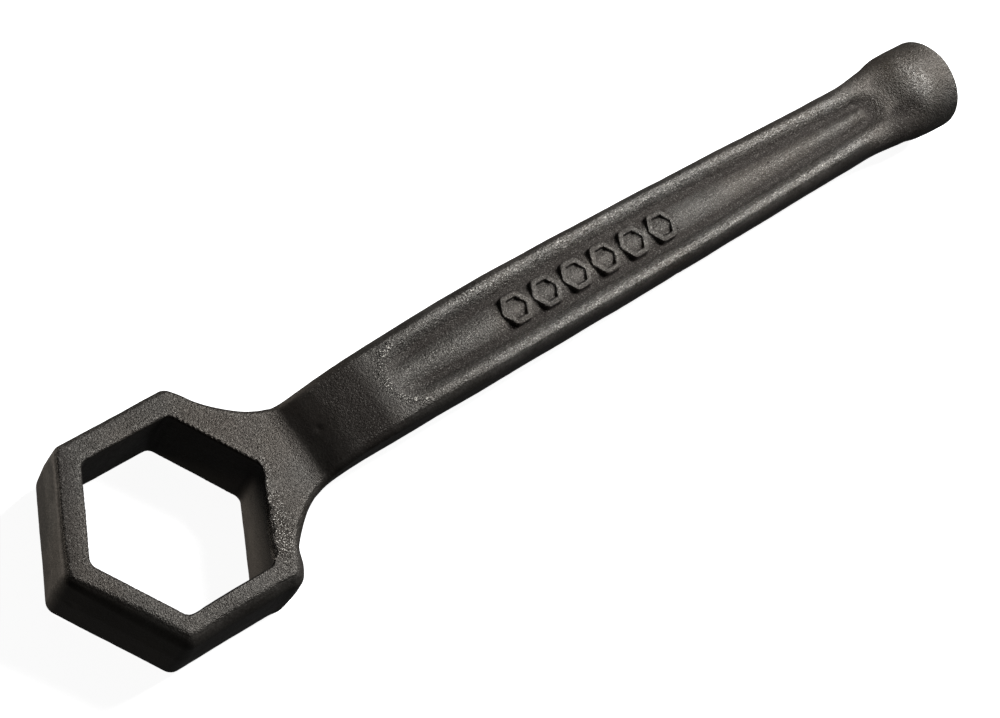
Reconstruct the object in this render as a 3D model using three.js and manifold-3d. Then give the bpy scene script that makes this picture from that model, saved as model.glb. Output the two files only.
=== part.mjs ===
// Fire hydrant wrench: one iron casting. A hexagonal ring head with a through
// hexagonal opening, a neck that climbs out of the top of the ring, a long
// handle with a raised flange along each edge of both broad faces, and a round
// boss at the far end.
//
// Millimetres, +Z up along the axis of the hexagon, +X from the ring to the
// boss. The origin is the centre of the footprint, on the plane of the ring's
// lower face.
import * as THREE from 'three';
import { mergeVertices } from 'three/addons/utils/BufferGeometryUtils.js';
import Module from 'manifold-3d';

const wasm = await Module();
wasm.setup();

// ---------------------------------------------------------------- dimensions
const HEX_AF = 63.5;          // opening, across flats (2 1/2 in)
const HEX_CORNER_R = 3.5;     // opening, corner radius in plan
const HEX_EDGE = 0.8;         // opening, rounding at both faces
const RING_AF = 83.2;         // ring, across its outer flats
const RING_CORNER_R = 5.0;    // ring, corner radius in plan
const RING_H = 29.0;          // ring, height
const RING_EDGE = 2.2;        // ring, rounding of the outer edges
const RING_BULGE = 0.5;       // ring, outer wall at mid height beyond its ends (draft)
const END_X = 385.0;          // ring centre to the end face of the boss
const BOSS_R = 19.0;          // boss radius
const BOSS_Z = 36.2;          // boss axis above the ring's lower face
const BOSS_EDGE = 1.2;        // boss, rounding at the end face
const FLANGE_ROUND = 5.0;     // height of the rounded outer edge of a flange
const GROOVE_DEPTH = 2.8;     // groove inside each flange, below the flange crest
const CROWN_DEPTH = 1.4;      // middle of the sunk panel, below the flange crest
const MARK_COUNT = 6;         // plain raised hexagon outlines on the upper panel
const MARK_FROM = 149.0;      // first outline's centre, from the ring centre
const MARK_PITCH = 15.2;
const MARK_AF = 12.6;         // outline, across flats
const MARK_STROKE = 2.5;
const MARK_TOP = 0.3;         // top of an outline, below the flange crest

const C30 = Math.cos(Math.PI / 6);
const RING_TIP = (RING_AF / 2 + RING_BULGE) / C30 - (RING_CORNER_R + RING_BULGE) * (1 / C30 - 1);
const HEAD_X = -(END_X - RING_TIP) / 2; // ring centre in the part's own frame

// Handle stations, by distance d from the ring centre:
// [d, half width, top z, bottom z, edge rounding across, edge rounding down]
const HANDLE = [
  [20.0, 38.5, 29.0, 8.0, 2.2, 2.2],
  [24.0, 40.4, 29.0, 9.0, 2.2, 2.2],
  [26.0, 39.2, 29.0, 9.6, 2.2, 2.2],
  [28.0, 37.0, 29.0, 10.2, 2.2, 2.2],
  [30.0, 33.7, 29.0, 10.8, 2.2, 2.2],
  [32.0, 31.4, 29.0, 11.5, 2.2, 2.2],
  [34.0, 29.2, 29.0, 12.2, 2.2, 2.2],
  [37.0, 26.3, 29.0, 13.3, 2.2, 2.2],
  [40.0, 23.6, 29.0, 14.3, 2.2, 2.2],
  [43.0, 21.4, 29.0, 15.2, 2.2, 2.2],
  [46.0, 19.7, 29.0, 16.0, 2.3, 2.3],
  [49.0, 18.3, 29.0, 16.8, 2.4, 2.4],
  [51.5, 17.4, 29.1, 17.6, 2.5, 2.5],
  [53.5, 16.9, 29.9, 18.6, 2.6, 2.6],
  [56.0, 16.4, 31.6, 20.0, 2.8, 2.8],
  [59.0, 16.0, 34.0, 21.4, 3.0, 3.0],
  [62.0, 16.2, 36.1, 22.8, 3.3, 3.2],
  [66.0, 16.2, 38.2, 23.7, 3.6, 3.4],
  [71.0, 16.3, 40.0, 24.5, 3.8, 3.6],
  [77.0, 16.5, 41.6, 25.3, 4.0, 3.8],
  [84.0, 16.7, 42.9, 26.2, 4.2, 4.1],
  [90.0, 16.9, 43.9, 27.1, 4.4, 4.4],
  [95.0, 17.0, 44.6, 27.7, 4.6, 4.6],
  [100.0, 17.1, 45.2, 28.3, 4.8, 4.8],
  [105.0, 17.2, 45.7, 28.9, 4.9, 4.9],
  [111.0, 17.4, 46.3, 29.6, 5.0, 5.0],
  [119.0, 17.6, 46.9, 30.3, 4.9, 5.0],
  [130.0, 17.7, 47.6, 30.9, 4.7, 5.0],
  [146.0, 17.7, 48.1, 31.4, 4.3, 5.0],
  [164.0, 17.6, 48.1, 31.4, 4.0, 5.0],
  [182.0, 17.5, 47.9, 31.2, 4.0, 5.0],
  [200.0, 17.3, 47.6, 30.9, 4.0, 5.0],
  [219.0, 17.1, 47.3, 30.6, 4.1, 5.0],
  [238.0, 16.8, 46.9, 30.2, 4.2, 5.0],
  [258.0, 16.5, 46.5, 29.8, 4.4, 5.0],
  [278.0, 16.2, 46.1, 29.4, 4.6, 5.0],
  [298.0, 15.8, 45.7, 29.0, 4.8, 5.0],
  [319.0, 15.5, 45.3, 28.6, 5.1, 5.0],
  [332.0, 15.3, 45.2, 28.5, 5.4, 5.0],
  [338.0, 15.3, 45.2, 28.5, 5.5, 5.0],
  [343.0, 15.6, 45.5, 28.3, 5.8, 5.3],
  [347.5, 16.2, 46.2, 27.6, 6.3, 6.0],
  [352.0, 16.8, 47.2, 26.6, 7.0, 7.0],
  [357.0, 16.6, 47.6, 25.8, 8.0, 8.0],
  [366.0, 14.0, 46.0, 27.0, 7.0, 7.0],
];

// Sunk panel: [d, depth factor 0..1, groove line from the middle]
const PANEL = [
  [95.0, 0.0, 5.0],
  [100.0, 0.25, 5.8],
  [105.0, 0.7, 6.6],
  [111.0, 0.95, 7.4],
  [119.0, 1.0, 7.9],
  [130.0, 1.0, 8.2],
  [200.0, 1.0, 8.4],
  [258.0, 1.0, 8.0],
  [298.0, 1.0, 6.6],
  [319.0, 0.95, 5.6],
  [332.0, 0.8, 4.6],
  [338.0, 0.6, 3.8],
  [343.0, 0.4, 3.0],
  [347.5, 0.15, 2.4],
  [352.0, 0.0, 2.0],
];

// Boss profile, [d, radius]; the first stretch lies inside the handle.
const BOSS = [
  [340.0, 0.0],
  [340.0, 8.6],
  [344.0, 10.4],
  [348.0, 12.9],
  [352.0, 15.4],
  [356.0, 17.4],
  [360.0, 18.6],
  [364.0, BOSS_R],
  [END_X - BOSS_EDGE, BOSS_R],
  [END_X - 0.3 * BOSS_EDGE, BOSS_R - 0.3 * BOSS_EDGE],
  [END_X, BOSS_R - BOSS_EDGE],
  [END_X, 0.0],
];

// -------------------------------------------------------------- small helpers
function table(rows, d, column) {
  if (d <= rows[0][0]) return rows[0][column];
  for (let i = 1; i < rows.length; i++) {
    if (d <= rows[i][0]) {
      const t = (d - rows[i - 1][0]) / (rows[i][0] - rows[i - 1][0]);
      return THREE.MathUtils.lerp(rows[i - 1][column], rows[i][column], t);
    }
  }
  return rows[rows.length - 1][column];
}

// Hexagon outline with round corners and a corner toward +X. r is the corner
// radius and steps the number of chords in a corner.
function hexagon(acrossFlats, r, steps) {
  const shape = new THREE.Shape();
  const reach = (acrossFlats / 2 - r) / C30;
  for (let k = 0; k < 6; k++) {
    const a = (k * Math.PI) / 3;
    shape.absarc(reach * Math.cos(a), reach * Math.sin(a), r, a - Math.PI / 6, a + Math.PI / 6, false);
  }
  shape.closePath();
  const pts = [];
  for (const p of shape.getPoints(steps)) {
    if (!pts.length || pts[pts.length - 1].distanceTo(p) > 1e-6) pts.push(p);
  }
  if (pts[0].distanceTo(pts[pts.length - 1]) < 1e-6) pts.pop();
  return pts;
}

// Closed skin through sections that all have the same number of points, with a
// flat cap at each end.
function loft(sections) {
  const n = sections[0].length;
  const m = sections.length;
  const position = [];
  for (const s of sections) for (const p of s) position.push(p.x, p.y, p.z);
  const index = [];
  for (let i = 0; i + 1 < m; i++) {
    for (let j = 0; j < n; j++) {
      const a = i * n + j, b = i * n + ((j + 1) % n), c = a + n, d = b + n;
      index.push(a, b, d, a, d, c);
    }
  }
  for (const i of [0, m - 1]) {
    const c = sections[i].reduce((t, p) => t.add(p), new THREE.Vector3()).divideScalar(n);
    position.push(c.x, c.y, c.z);
    const hub = position.length / 3 - 1;
    for (let j = 0; j < n; j++) {
      const a = i * n + j, b = i * n + ((j + 1) % n);
      if (i === 0) index.push(hub, b, a);
      else index.push(hub, a, b);
    }
  }
  const g = new THREE.BufferGeometry();
  g.setAttribute('position', new THREE.Float32BufferAttribute(position, 3));
  g.setIndex(index);
  return g;
}

function solid(geometry) {
  let g = geometry.clone();
  g.deleteAttribute('normal');
  g.deleteAttribute('uv');
  g = mergeVertices(g, 1e-4);
  const out = new wasm.Manifold(new wasm.Mesh({
    numProp: 3,
    vertProperties: new Float32Array(g.attributes.position.array),
    triVerts: new Uint32Array(g.index.array),
  }));
  if (out.volume() < 0) throw new Error('a skin faces inward');
  return out;
}

function toGeometry(m) {
  const mesh = m.getMesh();
  const g = new THREE.BufferGeometry();
  g.setAttribute('position', new THREE.Float32BufferAttribute(mesh.vertProperties, 3));
  g.setIndex(Array.from(mesh.triVerts));
  g.computeVertexNormals();
  return g;
}

// ------------------------------------------------------------------ the ring
// A hexagon at height z about the ring's centre, moved outward by grow.
function ringOutline(acrossFlats, r, grow, steps, z) {
  return hexagon(acrossFlats + 2 * grow, r + grow, steps)
    .map((p) => new THREE.Vector3(p.x + HEAD_X, p.y, z));
}

function ring() {
  const rounding = [0, 1 / 3, 2 / 3, 1].map((t) => (t * Math.PI) / 2)
    .map((a) => [RING_EDGE * (1 - Math.cos(a)), -RING_EDGE * (1 - Math.sin(a))]);
  const levels = [
    ...rounding,
    [RING_H / 2, RING_BULGE],
    ...rounding.slice().reverse().map(([z, grow]) => [RING_H - z, grow]),
  ];
  return solid(loft(levels.map(([z, grow]) => ringOutline(RING_AF, RING_CORNER_R, grow, 4, z))));
}

function hexOpening() {
  const levels = [
    [-2.0, HEX_EDGE + 1.2],
    [0.0, HEX_EDGE],
    [0.3 * HEX_EDGE, 0.3 * HEX_EDGE],
    [HEX_EDGE, 0.0],
    [RING_H - HEX_EDGE, 0.0],
    [RING_H - 0.3 * HEX_EDGE, 0.3 * HEX_EDGE],
    [RING_H, HEX_EDGE],
    [RING_H + 2.0, HEX_EDGE + 1.2],
  ];
  return solid(loft(levels.map(([z, grow]) => ringOutline(HEX_AF, HEX_CORNER_R, grow, 3, z))));
}

// ---------------------------------------------------------------- the handle
// One section, counter-clockwise as seen from the boss: up the +Y side, over
// the top from +Y to -Y, down the -Y side and back under.
function section(d) {
  const w = table(HANDLE, d, 1), top = table(HANDLE, d, 2), bottom = table(HANDLE, d, 3);
  const ry = table(HANDLE, d, 4), rz = table(HANDLE, d, 5);
  const depth = table(PANEL, d, 1), groove = table(PANEL, d, 2);
  const crest = w - ry;
  const fall = [
    [1.0, 0.0],
    [0.5, 0.5],
    [0.0, 1.0],
  ].map(([t, k]) => [groove + t * (crest - groove), depth * GROOVE_DEPTH * k]);
  const inner = [
    [groove * 0.5, depth * (GROOVE_DEPTH + CROWN_DEPTH) / 2],
    [0, depth * CROWN_DEPTH],
  ];
  const half = [...fall, ...inner]; // crest to middle, [y, fall below the crest]
  const across = [...half, ...half.slice(0, -1).reverse().map(([y, f]) => [-y, f])];
  const pts = [];
  const arc = (y0, z0, sy, sz, from, to) => {
    for (const t of [1 / 3, 2 / 3, 1].map((k) => THREE.MathUtils.lerp(from, to, k))) {
      pts.push([y0 + sy * ry * Math.sin(t), z0 + sz * rz * Math.cos(t)]);
    }
  };
  // top, from +Y crest to -Y crest, then round the -Y upper edge
  for (const [y, f] of across) pts.push([y, top - f]);
  arc(-crest, top - rz, -1, 1, 0, Math.PI / 2);
  // -Y lower edge
  pts.push([-w, bottom + rz]);
  arc(-crest, bottom + rz, -1, -1, Math.PI / 2, 0);
  // bottom, from -Y crest to +Y crest; the first point is already there
  for (const [y, f] of across.slice().reverse().slice(1)) pts.push([y, bottom + f]);
  arc(crest, bottom + rz, 1, -1, 0, Math.PI / 2);
  pts.push([w, top - rz]);
  arc(crest, top - rz, 1, 1, Math.PI / 2, 0);
  pts.pop();
  return pts.map(([y, z]) => new THREE.Vector3(d + HEAD_X, y, z));
}

function handle() {
  return solid(loft(HANDLE.map((row) => section(row[0]))));
}

function boss() {
  const g = new THREE.LatheGeometry(BOSS.map(([d, r]) => new THREE.Vector2(r, d)), 40);
  g.rotateZ(-Math.PI / 2);
  g.translate(HEAD_X, 0, BOSS_Z);
  return solid(g);
}

// ----------------------------------------------------- plain raised outlines
function marks() {
  const out = [];
  for (let k = 0; k < MARK_COUNT; k++) {
    const d = MARK_FROM + k * MARK_PITCH;
    const shape = new THREE.Shape(hexagon(MARK_AF, 1.2, 1));
    shape.holes.push(new THREE.Path(hexagon(MARK_AF - 2 * MARK_STROKE, 0.6, 1).reverse()));
    const g = new THREE.ExtrudeGeometry(shape, { depth: 4.0, bevelEnabled: false, steps: 1 });
    const top = table(HANDLE, d, 2);
    g.rotateY(Math.atan2(table(HANDLE, d - 8, 2) - table(HANDLE, d + 8, 2), 16));
    g.translate(d + HEAD_X, 0, top - MARK_TOP - 4.0);
    out.push(solid(g));
  }
  return out;
}

// --------------------------------------------------------------- the casting
let body = ring().add(handle()).add(boss()).subtract(hexOpening());
for (const m of marks()) body = body.add(m);

const iron = new THREE.MeshStandardMaterial({
  name: 'cast_iron',
  color: 0x35322e,
  roughness: 0.62,
  metalness: 0.75,
});
const casting = new THREE.Mesh(toGeometry(body), iron);
casting.name = 'wrench_casting';

const wrench = new THREE.Group();
wrench.name = 'fire_hydrant_wrench';
wrench.add(casting);

export default wrench;
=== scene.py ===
# Fire hydrant wrench: the look of the casting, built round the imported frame.
# Lengths in the shape code are millimetres measured from the ring's centre along
# the handle (x), across it (y) and up from the ring's lower face (z); they are
# turned into the row frame, in metres, when the mesh is made.
import math

import bpy
import numpy as np
from mathutils import Matrix, Vector


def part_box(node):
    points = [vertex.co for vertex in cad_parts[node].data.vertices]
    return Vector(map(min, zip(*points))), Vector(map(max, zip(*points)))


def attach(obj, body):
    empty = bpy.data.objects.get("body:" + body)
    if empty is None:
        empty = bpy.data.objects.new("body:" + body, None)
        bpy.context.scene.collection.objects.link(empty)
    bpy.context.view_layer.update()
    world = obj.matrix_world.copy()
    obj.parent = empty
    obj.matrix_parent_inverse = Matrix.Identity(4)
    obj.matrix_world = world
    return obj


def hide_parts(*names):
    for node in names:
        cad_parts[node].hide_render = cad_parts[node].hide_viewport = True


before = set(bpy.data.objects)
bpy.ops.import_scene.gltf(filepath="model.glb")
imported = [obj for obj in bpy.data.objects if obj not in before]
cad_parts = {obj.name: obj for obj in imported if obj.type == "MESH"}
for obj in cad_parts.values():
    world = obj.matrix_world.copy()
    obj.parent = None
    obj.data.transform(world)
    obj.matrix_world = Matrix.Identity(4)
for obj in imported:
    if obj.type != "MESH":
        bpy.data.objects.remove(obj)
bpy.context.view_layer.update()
node_lo, node_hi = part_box("wrench_casting")

# --- shape begins
H = 29.0  # ring height
RING_A, RING_R, RING_E, RING_BULGE = 41.6, 5.0, 2.2, 0.5
HEX_A, HEX_R, HEX_E = 31.75, 3.5, 0.8
END_X, BOSS_R, BOSS_Z, BOSS_E = 385.0, 18.98, 36.2, 1.3
C30 = math.cos(math.pi / 6)
RING_TIP = (RING_A + RING_BULGE) / C30 - (RING_R + RING_BULGE) * (1 / C30 - 1)
HEAD_X = -(END_X - RING_TIP) / 2

# x, half width, top, bottom, rounding of the upper edges, of the lower edges
HANDLE = np.array([
    [16.0, 38.0, 29.0, 9.0, 3.8, 2.2],
    [24.0, 39.6, 29.0, 10.0, 3.8, 2.2],
    [26.0, 38.6, 29.0, 10.2, 3.8, 2.2],
    [28.0, 35.9, 29.0, 10.6, 3.8, 2.2],
    [30.0, 33.0, 29.0, 11.1, 3.8, 2.2],
    [32.0, 30.7, 29.0, 11.7, 3.8, 2.2],
    [34.0, 28.6, 29.0, 12.4, 3.8, 2.2],
    [37.0, 25.9, 29.0, 13.4, 3.8, 2.2],
    [40.0, 23.4, 29.0, 14.3, 3.8, 2.2],
    [43.0, 21.3, 29.0, 15.2, 3.8, 2.2],
    [46.0, 19.6, 29.0, 16.0, 3.6, 2.3],
    [49.0, 18.3, 29.0, 16.8, 3.4, 2.4],
    [51.5, 17.4, 29.0, 17.6, 3.2, 2.5],
    [53.5, 16.9, 29.9, 18.6, 2.6, 2.6],
    [56.0, 16.4, 31.6, 19.9, 2.8, 2.8],
    [59.0, 16.1, 34.0, 21.4, 3.0, 3.0],
    [62.0, 16.1, 36.1, 22.7, 3.2, 3.2],
    [66.0, 16.2, 38.2, 23.7, 3.5, 3.4],
    [71.0, 16.3, 40.0, 24.5, 3.7, 3.6],
    [77.0, 16.5, 41.6, 25.3, 3.9, 3.8],
    [84.0, 16.7, 42.9, 26.2, 4.1, 4.1],
    [90.0, 16.9, 43.9, 27.1, 4.3, 4.4],
    [95.0, 17.0, 44.6, 27.7, 4.5, 4.6],
    [100.0, 17.1, 45.2, 28.3, 4.7, 4.8],
    [105.0, 17.2, 45.7, 28.9, 4.8, 4.9],
    [111.0, 17.4, 46.3, 29.6, 4.9, 5.0],
    [119.0, 17.6, 46.9, 30.3, 4.9, 5.0],
    [130.0, 17.7, 47.6, 30.9, 4.7, 5.0],
    [146.0, 17.7, 48.1, 31.4, 4.4, 5.0],
    [164.0, 17.6, 48.1, 31.4, 4.2, 5.0],
    [182.0, 17.5, 47.9, 31.2, 4.1, 5.0],
    [200.0, 17.3, 47.6, 30.9, 4.1, 5.0],
    [219.0, 17.1, 47.3, 30.6, 4.2, 5.0],
    [238.0, 16.8, 46.9, 30.2, 4.3, 5.0],
    [258.0, 16.5, 46.5, 29.8, 4.5, 5.0],
    [278.0, 16.2, 46.1, 29.4, 4.7, 5.0],
    [298.0, 15.8, 45.7, 29.0, 4.9, 5.0],
    [319.0, 15.5, 45.3, 28.6, 5.2, 5.0],
    [332.0, 15.3, 45.2, 28.5, 5.4, 5.2],
    [340.0, 15.2, 45.3, 28.4, 5.9, 5.5],
    [348.0, 15.8, 45.5, 28.1, 6.6, 6.2],
    [352.0, 16.4, 45.7, 27.9, 7.0, 6.6],
    [356.0, 16.9, 45.8, 27.8, 7.4, 7.0],
    [360.0, 17.4, 45.8, 27.8, 7.7, 7.3],
    [364.0, 17.7, 45.8, 27.8, 8.0, 7.6],
    [368.0, 17.2, 45.6, 28.0, 8.0, 7.6],
    [372.0, 15.8, 45.2, 28.4, 7.6, 7.4],
    [380.0, 12.0, 44.0, 29.4, 7.0, 7.0],
])
# x, depth factor, distance of the groove from the middle, of the flange's crest
PANEL = np.array([
    [92.0, 0.9, 5.3, 11.0],
    [100.0, 0.95, 6.0, 11.6],
    [111.0, 1.0, 6.8, 12.2],
    [119.0, 1.0, 7.2, 12.6],
    [130.0, 1.0, 7.5, 12.9],
    [165.0, 1.0, 7.7, 13.3],
    [200.0, 1.0, 7.6, 13.1],
    [230.0, 1.0, 7.5, 12.6],
    [258.0, 1.0, 7.1, 12.0],
    [278.0, 1.0, 6.5, 11.4],
    [298.0, 1.0, 5.9, 10.8],
    [319.0, 1.0, 5.1, 10.2],
    [332.0, 1.0, 4.5, 9.7],
    [342.0, 1.0, 4.0, 9.3],
    [352.0, 0.95, 3.6, 9.0],
    [364.0, 0.60, 3.4, 9.0],
])
PANEL_FROM, PANEL_TO = 88.5, 355.0
GROOVE, CROWN = 3.0, 1.25
BOSS = np.array([
    [324.0, 0.2],
    [342.0, 1.0],
    [348.5, 4.2],
    [353.0, 7.9],
    [357.0, 11.8],
    [361.0, 15.2],
    [364.5, 17.5],
    [368.0, 18.55],
    [372.0, 18.9],
    [377.0, BOSS_R],
    [390.0, BOSS_R],
])
BOSS_TURN = 0.036  # the boss leans a little to -Y towards its end
MARK_X, MARK_PITCH, MARK_N = 149.0, 15.2, 6
MARK_A, MARK_STROKE, MARK_TOP = 6.3, 2.5, 0.35


def curve(xs, ys, at):
    """A smooth line through the points that never overshoots them."""
    h = np.diff(xs)
    s = np.diff(ys) / h
    m = np.zeros(len(xs))
    m[1:-1] = np.where(
        s[:-1] * s[1:] > 0,
        3 * (h[:-1] + h[1:])
        / ((2 * h[1:] + h[:-1]) / np.where(s[:-1] == 0, 1, s[:-1])
           + (h[1:] + 2 * h[:-1]) / np.where(s[1:] == 0, 1, s[1:]) + 1e-30),
        0,
    )
    m[0], m[-1] = s[0], s[-1]
    i = np.clip(np.searchsorted(xs, at) - 1, 0, len(h) - 1)
    t = np.clip((at - xs[i]) / h[i], 0, 1)
    return (
        ys[i] * (1 + 2 * t) * (1 - t) ** 2
        + m[i] * h[i] * t * (1 - t) ** 2
        + ys[i + 1] * t * t * (3 - 2 * t)
        - m[i + 1] * h[i] * t * t * (1 - t)
    )


GX = np.arange(10.0, 392.0, 0.25)


def tabled(rows, column, sigma):
    """A table's column on the fine grid GX, softened over sigma mm."""
    v = curve(rows[:, 0], rows[:, column], GX)
    if not sigma:
        return v
    k = np.arange(-int(4 * sigma / 0.25), int(4 * sigma / 0.25) + 1) * 0.25
    k = np.exp(-0.5 * (k / sigma) ** 2)
    k /= k.sum()
    pad = len(k) // 2
    return np.convolve(np.pad(v, pad, mode="edge"), k, "valid")


def soften(v, far):
    """v left as it is up to x = 54 and taken from far beyond x = 66."""
    t = np.clip((GX - 54) / 12, 0, 1)
    t = t * t * (3 - 2 * t)
    return v * (1 - t) + far * t


W_ = soften(tabled(HANDLE, 1, 1.2), tabled(HANDLE, 1, 5))
TOP_ = soften(tabled(HANDLE, 2, 2.0), tabled(HANDLE, 2, 3))
BOT_ = soften(tabled(HANDLE, 3, 1.5), tabled(HANDLE, 3, 3))
RT_, RB_ = tabled(HANDLE, 4, 4), tabled(HANDLE, 5, 4)
DEP_, GRV_, CRS_ = (tabled(PANEL, k, 3) for k in (1, 2, 3))
BSS_ = tabled(BOSS, 1, 1.5)
DW_, DT_, DB_, DS_ = (np.gradient(v, 0.25) for v in (W_, TOP_, BOT_, BSS_))


def at(v, x):
    return np.interp(x, GX, v)


def both(a, b, r):
    """Where two solids overlap, with the edge between them rounded by r."""
    return np.minimum(np.maximum(a, b), -r) + np.hypot(
        np.maximum(a + r, 0), np.maximum(b + r, 0)
    )


def either(a, b, r):
    """Two solids joined, with the corner between them filleted by r."""
    return np.maximum(np.minimum(a, b), r) - np.hypot(
        np.maximum(r - a, 0), np.maximum(r - b, 0)
    )


def hexagon(x, y, a):
    """Distance from a hexagon with a corner on +x; a is its apothem."""
    px, py = np.abs(x), np.abs(y)
    # fold onto the sector of the flat that faces +y
    dot = np.minimum(-C30 * px + 0.5 * py, 0)
    qx, qy = px + 2 * C30 * dot, py - dot
    side = a / C30 / 2
    qx = qx - np.clip(qx, -side, side)
    qy = qy - a
    return np.hypot(qx, qy) * np.sign(qy)


def panel(x, y):
    """How far the sunk panel lies below the flange's crest."""
    c = at(CRS_, x)
    wall = c - at(GRV_, x)
    tip = -both(-0.6 * (PANEL_TO - x), np.abs(y) - c, 7.5)
    crown = 0.5 - 0.5 * np.cos(np.pi * np.clip((tip - wall) / (c - wall), 0, 1))
    near = np.clip((104 - x) / 12, 0, 1)
    rim = -both(-0.55 * (x - PANEL_FROM), -tip, 7.0)
    fall = np.clip(rim / wall, 0, 1) ** (1 - 0.28 * near)
    fall = 0.5 - 0.5 * np.cos(np.pi * fall)
    return at(DEP_, x) * fall * (GROOVE - (GROOVE - CROWN) * crown)


def marks(x, y, z, top):
    """Plain raised hexagon outlines along the middle of the upper panel."""
    k = np.clip(np.round((x - MARK_X) / MARK_PITCH), 0, MARK_N - 1)
    h = hexagon(x - MARK_X - k * MARK_PITCH, y, MARK_A - MARK_STROKE / 2 - 0.9) - 0.9
    return both(np.abs(h) - MARK_STROKE / 2, z - top + MARK_TOP, 0.55)


def solid(x, y, z):
    w, top, bot = at(W_, x), at(TOP_, x), at(BOT_, x)
    dep = panel(x, y)
    bulge = RING_BULGE * np.clip(1 - np.abs(z - H / 2) / (H / 2 - RING_E), 0, 1)
    ring = hexagon(x, y, RING_A - RING_R) - RING_R
    u, v = -0.5 * (x - 29.0) - C30 * (y + 37.8), C30 * (x - 29.0) - 0.5 * (y + 37.8)
    ring = ring - 2.4 * np.exp(-(u**2) / 90.0 - v**2 / 20.0)
    ring_in = both(ring - bulge, -z, RING_E)
    side = (np.abs(y) - w) / np.sqrt(1 + at(DW_, x) ** 2)
    side = np.maximum(side, np.maximum(18.0 - x, x - 378.0))
    under = (bot + dep - z) / np.sqrt(1 + at(DB_, x) ** 2)
    bar = both(side, under, at(RB_, x))
    deep = np.clip(-np.minimum(side, ring) / 7, 0.02, 1)
    body = either(ring_in, bar, 7.0 * deep)
    over = (z - top + dep) / np.sqrt(1 + at(DT_, x) ** 2)
    rt = at(RT_, x)
    rt = rt - np.maximum(rt - 2.2, 0) * np.clip((y + 6) / 24, 0, 1) * (x < 52)
    rt = rt + 1.9 * np.clip((-y - 2) / 22, 0, 1) * np.clip((40 - x) / 14, 0, 1)
    body = both(body, over, rt)
    r = np.hypot(y + BOSS_TURN * (x - 374.0), z - BOSS_Z)
    boss = (r - at(BSS_, x)) / np.sqrt(1 + at(DS_, x) ** 2)
    boss = both(np.maximum(boss, 325.0 - x), x - END_X, BOSS_E)
    body = np.where(x > 300, either(body, boss, 3.2), body)
    near = (x > MARK_X - 12) & (x < MARK_X + MARK_PITCH * MARK_N) & (z > bot + 8)
    if near.any():
        n = np.nonzero(near)
        raised = marks(x[n], y[n], z[n], top[n])
        body = body.copy()
        body[n] = either(body[n], raised, 0.5)
    hole = hexagon(x, y, HEX_A - HEX_R) - HEX_R
    return both(body, -hole, HEX_E)


def nets(xs, ys, zs, field):
    """A quad mesh of the surface field = 0 on a grid that needn't be even."""
    f = np.empty((len(xs), len(ys), len(zs)))
    yy, zz = np.meshgrid(ys, zs, indexing="ij")
    for i in range(0, len(xs), 16):
        j = min(i + 16, len(xs))
        gx = np.broadcast_to(xs[i:j, None, None], (j - i,) + yy.shape)
        f[i:j] = field(
            gx, np.broadcast_to(yy, gx.shape), np.broadcast_to(zz, gx.shape)
        )
    s = f < 0
    count = np.zeros(tuple(n - 1 for n in f.shape), np.int8)
    for a in (0, 1):
        for b in (0, 1):
            for c in (0, 1):
                count += s[
                    a : s.shape[0] - 1 + a, b : s.shape[1] - 1 + b, c : s.shape[2] - 1 + c
                ]
    live = (count > 0) & (count < 8)
    ids = np.full(live.shape, -1)
    ids[live] = np.arange(live.sum())
    ci = np.nonzero(live)
    total, weight = np.zeros((len(ci[0]), 3)), np.zeros(len(ci[0]))
    grid = (xs, ys, zs)
    corners = [(a, b, c) for a in (0, 1) for b in (0, 1) for c in (0, 1)]
    for p in corners:
        for axis in range(3):
            if p[axis]:
                continue
            q = list(p)
            q[axis] = 1
            fa = f[ci[0] + p[0], ci[1] + p[1], ci[2] + p[2]]
            fb = f[ci[0] + q[0], ci[1] + q[1], ci[2] + q[2]]
            cross = (fa < 0) != (fb < 0)
            t = np.where(cross, fa / np.where(fa == fb, 1, fa - fb), 0)
            for k in range(3):
                lo, hi = grid[k][ci[k] + p[k]], grid[k][ci[k] + q[k]]
                total[:, k] += np.where(cross, lo + t * (hi - lo), 0)
            weight += cross
    points = total / weight[:, None]
    quads = []
    for axis in range(3):
        u, v = (axis + 1) % 3, (axis + 2) % 3
        lo = [slice(None)] * 3
        hi = [slice(None)] * 3
        lo[axis], hi[axis] = slice(0, -1), slice(1, None)
        a, b = s[tuple(lo)], s[tuple(hi)]
        inner = [slice(None)] * 3
        inner[u] = inner[v] = slice(1, -1)
        change = (a != b)[tuple(inner)]
        e = np.stack(np.nonzero(change), 1)
        e[:, u] += 1
        e[:, v] += 1
        out = a[tuple(e.T)]
        ring = []
        for du, dv in ((-1, -1), (0, -1), (0, 0), (-1, 0)):
            c = e.copy()
            c[:, u] += du
            c[:, v] += dv
            ring.append(ids[tuple(c.T)])
        q = np.stack(ring, 1)
        q[~out] = q[~out][:, ::-1]
        quads.append(q)
    return points, np.concatenate(quads)


def slope(p, field, e=0.02):
    g = np.empty_like(p)
    for k in range(3):
        a, b = p.copy(), p.copy()
        a[:, k] += e
        b[:, k] -= e
        g[:, k] = (field(*a.T) - field(*b.T)) / (2 * e)
    return g


def settle(p, field, times, reach):
    """Moves points onto the surface, each step at most reach mm."""
    for _ in range(times):
        g = slope(p, field)
        step = (field(*p.T) / np.maximum((g * g).sum(1), 0.05))[:, None] * g
        size = np.linalg.norm(step, axis=1, keepdims=True)
        p = p - step * np.minimum(1, reach / np.maximum(size, 1e-9))
    return p


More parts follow.
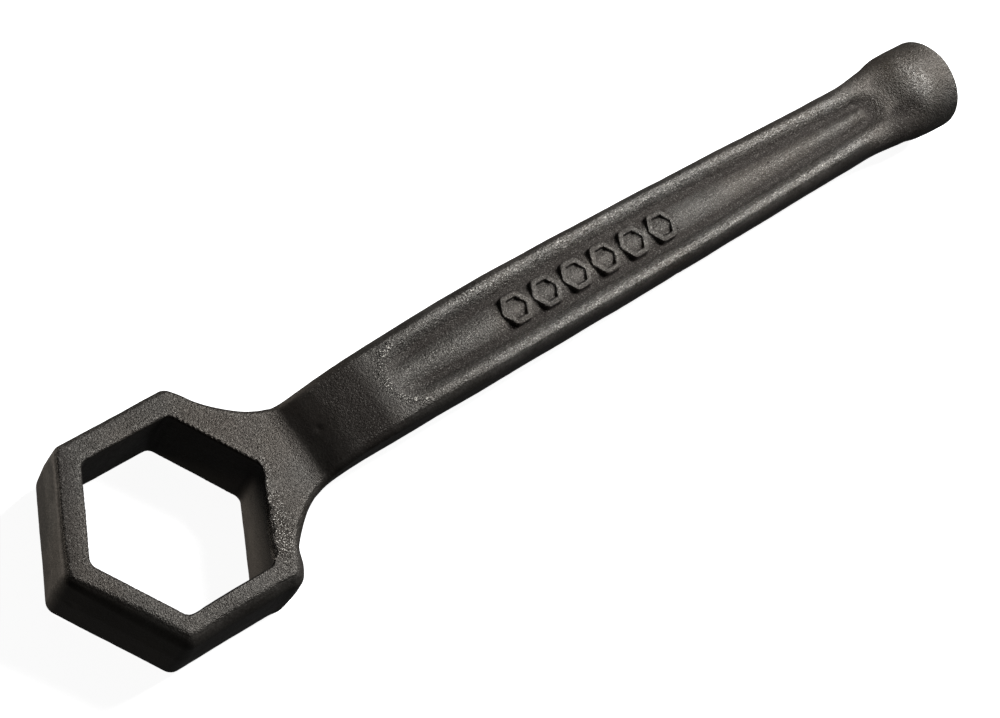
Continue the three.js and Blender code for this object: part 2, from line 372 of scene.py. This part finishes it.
def even_out(p, quads, field, times):
    """Spreads the points along the surface and puts them back onto it."""
    a = quads.ravel()
    b = np.roll(quads, -1, 1).ravel()
    links = np.r_[a, b]
    others = np.r_[b, a]
    n = np.bincount(links, minlength=len(p))[:, None]
    for _ in range(times):
        mean = np.stack(
            [np.bincount(links, p[others, k], len(p)) for k in range(3)], 1
        ) / n
        p = settle(p + 0.5 * (mean - p), field, 1, 0.4)
    return p


def lattice(i, j, k, seed):
    h = (
        i.astype(np.uint32) * np.uint32(374761393)
        + j.astype(np.uint32) * np.uint32(668265263)
        + k.astype(np.uint32) * np.uint32(2246822519)
        + np.uint32(seed * 3266489917 & 0xFFFFFFFF)
    )
    h = (h ^ (h >> np.uint32(13))) * np.uint32(1274126177)
    h = (h ^ (h >> np.uint32(16))) * np.uint32(2654435761)
    return ((h ^ (h >> np.uint32(15))) & np.uint32(0xFFFFFF)) / float(0xFFFFFF) * 2 - 1


def noise(p, size, seed):
    """Smooth noise from -1 to 1 with features of about size mm."""
    q = p / size + 1000.0
    f = np.floor(q)
    t = q - f
    t = t * t * t * (t * (t * 6 - 15) + 10)
    f = f.astype(np.int64)
    out = np.zeros(len(p))
    for a in (0, 1):
        for b in (0, 1):
            for c in (0, 1):
                wgt = (
                    (t[:, 0] if a else 1 - t[:, 0])
                    * (t[:, 1] if b else 1 - t[:, 1])
                    * (t[:, 2] if c else 1 - t[:, 2])
                )
                out += wgt * lattice(f[:, 0] + a, f[:, 1] + b, f[:, 2] + c, seed)
    return out


def grid_x(coarse, fine):
    """Stations along x, closer together where the raised outlines are."""
    a, b = MARK_X - 9, MARK_X + MARK_PITCH * (MARK_N - 1) + 9
    return np.concatenate([
        np.linspace(-51, a, int((a + 51) / coarse), endpoint=False),
        np.linspace(a, b, int((b - a) / fine), endpoint=False),
        np.linspace(b, 389, int((389 - b) / coarse)),
    ])


def casting(coarse=0.9, fine=0.5, cross=0.65):
    ys = np.arange(-44.2, 44.3, cross) + 0.013
    zs = np.arange(-2.1, 58.0, cross) + 0.017
    p, quads = nets(grid_x(coarse, fine), ys, zs, solid)
    p = settle(p, solid, 2, 0.4)
    p = even_out(p, quads, solid, 3)
    p = settle(p, solid, 2, 0.2)
    return p, quads
# --- shape ends


def relief(x, y, z):
    """How far the cast skin dips below the smooth shape, in mm."""
    p = np.stack([np.ravel(x), np.ravel(y), np.ravel(z)], 1)
    d = 0.15 + 0.10 * noise(p, 15, 1) + 0.03 * noise(p, 5.2, 2) + 0.03 * noise(p, 2.3, 3)
    for (a, b, c), deep, wide in PITS:
        r = (p[:, 0] - a) ** 2 + (p[:, 1] - b) ** 2 + (p[:, 2] - c) ** 2
        d += deep * np.exp(-r / wide**2)
    return d.reshape(np.shape(x))


def rough_skin(x, y, z):
    return solid(x, y, z) + relief(x, y, z)


def pits(p, count=46):
    """Shallow casting pits at places chosen once, and the marks of real wear."""
    rng = np.random.default_rng(7)
    out = [
        (p[k], rng.uniform(0.12, 0.34), rng.uniform(1.2, 2.3))
        for k in rng.choice(len(p), count, replace=False)
    ]
    # a short slit beside the panel's tip
    for t in np.linspace(0, 1, 5):
        out.append(((341.4 + 3.4 * t, 5.4 - 2.4 * t, 43.2), 0.9, 0.9))
    # chips along the upper edge of one wall of the opening
    side = HEX_A / C30
    a = np.array([side, 0.0])
    b = np.array([side / 2, -side * C30])
    for t in np.sort(rng.uniform(0.06, 0.94, 15)):
        q = a + (b - a) * t
        out.append(((q[0], q[1], H - 0.2), rng.uniform(0.25, 0.8), rng.uniform(0.8, 1.5)))
    out.append(((25.4, -20.0, H - 0.3), 1.2, 1.5))
    return out


PITS = []
points, quads = casting(1.035, 0.556, 0.80)
PITS = pits(points)
points = settle(points, rough_skin, 2, 0.5)
facing = slope(points, rough_skin, 0.12)
facing /= np.linalg.norm(facing, axis=1, keepdims=True)


def bend(p, e):
    """How convex (above 0) or hollow (below 0) the shape is within about e mm."""
    total = -6 * solid(*p.T)
    for k in range(3):
        for s in (-e, e):
            q = p.copy()
            q[:, k] += s
            total += solid(*q.T)
    return total / e


broad = np.clip(bend(points, 3.2) * 1.2, -1, 1)
# places where the skin is rougher and brighter than elsewhere, and rubbed crests lightened
# partly as wear and partly as painted highlight, with a painted highlight spot on the boss
x, y, z = points.T
rim = np.exp(-(((np.hypot((x - 101.5) * 0.95, y) - 12.6) / 1.5) ** 2)) * (x < 98) * (z > 40)
along, off = -0.5 * (x - HEX_A / C30) - C30 * y, C30 * x - 0.5 * y - HEX_A
streak = np.exp(-(((along - 24) / 12) ** 2) - ((off - 3.6 - 0.12 * (along - 18)) / 3.2) ** 2)
lip = np.exp(-((off / 1.0) ** 2)) * np.exp(-(((along - 10) / 13) ** 2))
harsh = np.clip(rim + (1.25 * streak + lip) * (z > 25), 0, 1)
# crest lines: rubbed wear, also lightened as painted highlight
line = np.exp(-(((np.abs(y) - at(CRS_, x) + 0.4) / 2.2) ** 2)) * (z > 39)
line *= 0.95 * np.clip((x - 98) / 44, 0, 1) * np.clip((344 - x) / 14, 0, 1)
# a painted highlight spot on the top of the boss
boss_painted_highlight = np.exp(-(((x - 367.5) / 3.8) ** 2) - (((y + 3.0) / 7.5) ** 2)) * (z > 48)
wear_and_highlight_mask = np.clip(line + 1.3 * boss_painted_highlight, 0, 1)
# painted shade, darkening the tone at: the groove and its turn at the far end, the neck's rise,
# the flare's flanks, the ring's rounded edges on the far side and the walls of the opening
turn = -both(-0.6 * (PANEL_TO - x), np.abs(y) - at(CRS_, x), 7.5)
groove = np.exp(-(((turn - at(CRS_, x) + 0.91 * at(GRV_, x)) / 2.8) ** 2))
groove *= 1.12 * np.clip((x - 95) / 12, 0, 1)
neck = np.clip((88 - x) / 8, 0, 1) * np.clip((x - 49) / 6, 0, 1) * (z > 28)
neck *= 0.8 + 0.9 * np.clip((x - 63) / 8, 0, 1)
flare = np.exp(-(((x - 354.5) / 10) ** 2))
flare *= np.clip(np.maximum(-y - 2.8, y - 11.5) / 4.2, 0, 1)
flank = flare * np.where(y < 0, 1.6, 1.3)
flank = np.maximum(flank, 0.34 * np.exp(-(((x - 355) / 7) ** 2)))
far = 1.35 * np.exp(-(((RING_A + C30 * x - 0.5 * y) / 5.2) ** 2))
far = np.maximum(far, 0.6 * np.exp(-(((RING_A - y) / 3.6) ** 2)) * (x < 22))
bore = 0.5 * (np.abs(hexagon(x, y, HEX_A)) < 1.6) * (np.abs(facing[:, 2]) < 0.7)
painted_shade = np.maximum(groove, flank) * (facing[:, 2] > 0.2)
painted_shade = np.maximum(painted_shade, neck * (facing[:, 2] > 0.3))
painted_shade = np.maximum(painted_shade, far * np.clip((facing[:, 2] - 0.04) / 0.1, 0, 1))
painted_shade = np.maximum(painted_shade, bore)
crown = np.clip(panel(x, y) - 0.3, 0, 1) * np.clip(1 - painted_shade, 0, 1) * (np.abs(facing[:, 2]) > 0.5)
harsh = np.maximum(harsh, 0.11 * crown)
# the handle's steep sides outside the crests, up to the flare: smoother skin and painted shade
steep = 1 - np.clip((np.abs(facing[:, 2]) - 0.86) / 0.12, 0, 1)
outer = np.clip(np.maximum((92 - x) / 4, (np.abs(y) - at(CRS_, x) - 0.8 * (y > 0)) / 1.2), 0, 1)
calm_and_shaded = steep * np.clip((342 - x) / 10, 0, 1) * (1 - line) * outer

place = np.array([HEAD_X, 0.0, 0.0])
metres = (points + place) / 1000
metres = np.clip(metres, np.array(node_lo), np.array(node_hi))


def cast_iron():
    mat = bpy.data.materials.new("cast_iron_black")
    mat.use_nodes = True
    nt = mat.node_tree
    nt.nodes.clear()
    new, link = nt.nodes.new, nt.links.new

    def math_(op, a, b=None, clamp=False):
        n = new("ShaderNodeMath")
        n.operation, n.use_clamp = op, clamp
        for k, v in enumerate((a, b)):
            if v is None:
                continue
            if isinstance(v, (int, float)):
                n.inputs[k].default_value = v
            else:
                link(v, n.inputs[k])
        return n.outputs[0]

    def grain(scale, detail=2.0, rough=0.5, stretch=None):
        n = new("ShaderNodeTexNoise")
        n.noise_dimensions = "3D"
        n.inputs["Scale"].default_value = scale
        n.inputs["Detail"].default_value = detail
        n.inputs["Roughness"].default_value = rough
        link(where, n.inputs["Vector"])
        return n.outputs["Fac"]

    def span(v, a, b, c=0.0, d=1.0):
        n = new("ShaderNodeMapRange")
        n.interpolation_type = "SMOOTHSTEP"
        link(v, n.inputs["Value"])
        for k, s in zip(("From Min", "From Max", "To Min", "To Max"), (a, b, c, d)):
            n.inputs[k].default_value = s
        return n.outputs["Result"]

    def field(name):
        n = new("ShaderNodeAttribute")
        n.attribute_type, n.attribute_name = "GEOMETRY", name
        return n.outputs["Fac"]

    def mixed(f, a, b):
        n = new("ShaderNodeMix")
        n.data_type = "RGBA"
        link(f, n.inputs["Factor"])
        for s, v in ((n.inputs[6], a), (n.inputs[7], b)):
            if isinstance(v, tuple):
                s.default_value = (*v, 1)
            else:
                link(v, s)
        return n.outputs[2]

    coords = new("ShaderNodeTexCoord")
    where = coords.outputs["Object"]

    fine = grain(2100, 2.0, 0.6)
    sand = grain(1050, 2.5, 0.6)
    glint = grain(2000, 1.0, 0.5)
    lump = grain(260, 3.0, 0.55)
    blotch = grain(46, 4.0, 0.6)
    cloud = grain(17, 3.0, 0.5)
    wide, harshness, wear_and_highlight_in = field("broad"), field("harsh"), field("wear_and_highlight")

    tone = mixed(span(blotch, 0.36, 0.66), DARK, LIGHT)
    tone = mixed(span(cloud, 0.42, 0.62, 0.0, 0.45), tone, BROWN)
    # rubbed wear on crests and convex edges lightens the tone toward bare metal; on the crest
    # lines and the boss spot this is also painted highlight
    wear_and_highlight_sum = math_("ADD", wear_and_highlight_in, math_("MULTIPLY", span(wide, 0.15, 0.7), 0.22), True)
    wear_and_highlight = math_("MULTIPLY", wear_and_highlight_sum, span(sand, 0.36, 0.62), True)
    tone = mixed(math_("MULTIPLY", wear_and_highlight, 0.62), tone, BARE_AND_HIGHLIGHT)
    # darker in concave places, and painted shade where the mask of grooves, neck rise, flare
    # flanks, far ring edges and opening walls is set
    dark_hollows_and_shade = math_("MULTIPLY", span(wide, -0.05, -0.7), 0.45)
    dark_hollows_and_shade = math_("ADD", dark_hollows_and_shade, math_("MULTIPLY", field("painted_shade"), 0.58), True)
    tone = mixed(dark_hollows_and_shade, tone, DARK_SKIN_AND_SHADE)
    lively = math_("SUBTRACT", 1.0, math_("MULTIPLY", field("calm_and_shaded"), 0.80))
    hollow = math_("MULTIPLY", span(sand, 0.30, 0.52, 0.42, 0.0), lively)
    tone = mixed(hollow, tone, DARK_SKIN_AND_SHADE)
    # painted shade on the handle's steep sides
    tone = mixed(math_("MULTIPLY", field("calm_and_shaded"), 0.25), tone, DARK_SKIN_AND_SHADE)
    chance = math_("ADD", math_("MULTIPLY", harshness, 0.85), 0.10)
    chance = math_("ADD", chance, math_("MULTIPLY", wear_and_highlight, 0.42))
    chance = math_("MULTIPLY", chance, lively, True)
    specks = math_("MULTIPLY", span(glint, 0.57, 0.66), chance, True)
    tone = mixed(specks, tone, SPARK)

    gloss = math_("ADD", span(blotch, 0.3, 0.7, -0.05, 0.05), ROUGH)
    gloss = math_("ADD", gloss, span(sand, 0.3, 0.7, -0.06, 0.06))
    gloss = math_("ADD", gloss, math_("MULTIPLY", field("painted_shade"), 0.15))
    gloss = math_("SUBTRACT", gloss, math_("MULTIPLY", wear_and_highlight, 0.08), True)

    def bump(height, strength, distance, before=None):
        n = new("ShaderNodeBump")
        n.inputs["Strength"].default_value = strength
        n.inputs["Distance"].default_value = distance
        link(height, n.inputs["Height"])
        if before is not None:
            link(before, n.inputs["Normal"])
        return n.outputs["Normal"]

    skin = bump(math_("MULTIPLY", lump, lively), 0.25, 0.0005)
    skin = bump(math_("MULTIPLY", sand, lively), 1.0, 0.00040, skin)
    skin = bump(math_("MULTIPLY", fine, lively), 1.0, 0.00028, skin)
    skin = bump(math_("MULTIPLY", sand, harshness), 1.0, 0.0006, skin)

    b = new("ShaderNodeBsdfPrincipled")
    b.inputs["Metallic"].default_value = METAL
    b.inputs["Specular IOR Level"].default_value = 0.5
    link(tone, b.inputs["Base Color"])
    link(gloss, b.inputs["Roughness"])
    link(skin, b.inputs["Normal"])
    out = new("ShaderNodeOutputMaterial")
    link(b.outputs[0], out.inputs["Surface"])
    return mat


METAL, ROUGH = 0.75, 0.46
DARK, LIGHT = (0.038, 0.035, 0.031), (0.062, 0.058, 0.053)
# the bare-metal tone serves rubbed wear and painted highlight
BROWN, BARE_AND_HIGHLIGHT = (0.053, 0.043, 0.034), (0.125, 0.12, 0.112)
# the darkest tone serves grain pits and hollows, and painted shade
DARK_SKIN_AND_SHADE, SPARK = (0.014, 0.011, 0.009), (0.46, 0.44, 0.40)

mesh = bpy.data.meshes.new("wrench_body")
mesh.vertices.add(len(metres))
mesh.vertices.foreach_set("co", metres.ravel())
mesh.loops.add(quads.size)
mesh.loops.foreach_set("vertex_index", quads.ravel())
mesh.polygons.add(len(quads))
mesh.polygons.foreach_set("loop_start", np.arange(0, quads.size, 4))
mesh.update(calc_edges=True)
mesh.validate()
mesh.shade_smooth()
for name, values in (
    ("broad", broad), ("harsh", harsh), ("wear_and_highlight", wear_and_highlight_mask), ("painted_shade", painted_shade), ("calm_and_shaded", calm_and_shaded)
):
    mesh.attributes.new(name, "FLOAT", "POINT").data.foreach_set(
        "value", values.astype(np.float32)
    )
mesh.normals_split_custom_set_from_vertices(facing)
wrench = bpy.data.objects.new("wrench_body", mesh)
bpy.context.scene.collection.objects.link(wrench)
mesh.materials.append(cast_iron())
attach(wrench, "root")
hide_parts("wrench_casting")

# camera: the view that shows the ring near and the boss far
turn = np.array([
    [0.7276812170447403, -0.5870163241135291, 0.3548124597368665],
    [-0.4223338132399134, -0.7910473897909794, -0.4425812663219172],
    [0.540475898217968, 0.1722087754126309, -0.8235471699401088],
])
eye = (np.array([-411.54720101240935, -185.96423435700808, 872.4370504197607]) + place) / 1000
lens = bpy.data.cameras.new("camera")
lens.lens, lens.sensor_width, lens.sensor_fit = 100.8, 36.0, "HORIZONTAL"
lens.clip_start, lens.clip_end = 0.05, 50
camera = bpy.data.objects.new("camera", lens)
pose = Matrix((turn.T @ np.diag([1.0, -1.0, -1.0])).tolist()).to_4x4()
pose.translation = Vector(eye)
camera.matrix_world = pose
bpy.context.scene.collection.objects.link(camera)
bpy.context.scene.camera = camera

FLOOR_GLOW, WORLD = 0.93, 0.06
HEAD, MIDDLE = (-0.17, 0.0, 0.03), (0.02, 0.0, 0.03)
LIGHTS = [
    ("key", (0.60, 0.05, 0.74), MIDDLE, 0.36, 0.44, 23),
    ("low", (-0.62, 0.86, -0.29), HEAD, 0.8, 0.30, 13.5, (1.0, 0.94, 0.86)),
]

# floor: it touches the ring's lower edge and the boss, as the wrench lies
near, far = (43.9 + HEAD_X, 0.0), (384.0 + HEAD_X, BOSS_Z - BOSS_R)
lean = math.atan2(far[1] - near[1], far[0] - near[0])
floor_mesh = bpy.data.meshes.new("floor")
S = 12.0
floor_mesh.from_pydata([(-S, -S, 0), (S, -S, 0), (S, S, 0), (-S, S, 0)], [], [(0, 1, 2, 3)])
floor = bpy.data.objects.new("floor", floor_mesh)
floor.location = (near[0] / 1000, 0, -0.0002)
floor.rotation_euler = (0, -lean, 0)
bpy.context.scene.collection.objects.link(floor)
fm = bpy.data.materials.new("floor_pale")
fm.use_nodes = True
fb = fm.node_tree.nodes["Principled BSDF"]
fb.inputs["Base Color"].default_value = (0.5, 0.5, 0.5, 1)
fb.inputs["Roughness"].default_value = 0.9
fb.inputs["Specular IOR Level"].default_value = 0.0
fb.inputs["Emission Color"].default_value = (1, 1, 1, 1)
fb.inputs["Emission Strength"].default_value = FLOOR_GLOW
fm.cycles.emission_sampling = "NONE"
floor_mesh.materials.append(fm)
floor.visible_diffuse = False
floor.visible_glossy = False
floor.visible_shadow = False


def softbox(name, at_, toward, width, height, watts, tint=(1, 1, 1)):
    data = bpy.data.lights.new(name, "AREA")
    data.shape, data.size, data.size_y = "RECTANGLE", width, height
    data.energy, data.color = watts, tint
    o = bpy.data.objects.new(name, data)
    o.location = at_
    o.rotation_euler = (Vector(at_) - Vector(toward)).to_track_quat("Z", "Y").to_euler()
    bpy.context.scene.collection.objects.link(o)
    return o


for spec in LIGHTS:
    softbox(*spec)

world = bpy.data.worlds.new("studio")
world.use_nodes = True
wt = world.node_tree
wt.nodes.clear()
dim = wt.nodes.new("ShaderNodeBackground")
dim.inputs["Color"].default_value = (WORLD, WORLD, WORLD, 1)
pale = wt.nodes.new("ShaderNodeBackground")
pale.inputs["Color"].default_value = (1, 1, 1, 1)
seen = wt.nodes.new("ShaderNodeLightPath")
mix = wt.nodes.new("ShaderNodeMixShader")
wo = wt.nodes.new("ShaderNodeOutputWorld")
wt.links.new(seen.outputs["Is Camera Ray"], mix.inputs[0])
wt.links.new(dim.outputs[0], mix.inputs[1])
wt.links.new(pale.outputs[0], mix.inputs[2])
wt.links.new(mix.outputs[0], wo.inputs["Surface"])
bpy.context.scene.world = world
bpy.context.scene.view_settings.view_transform = "Standard"
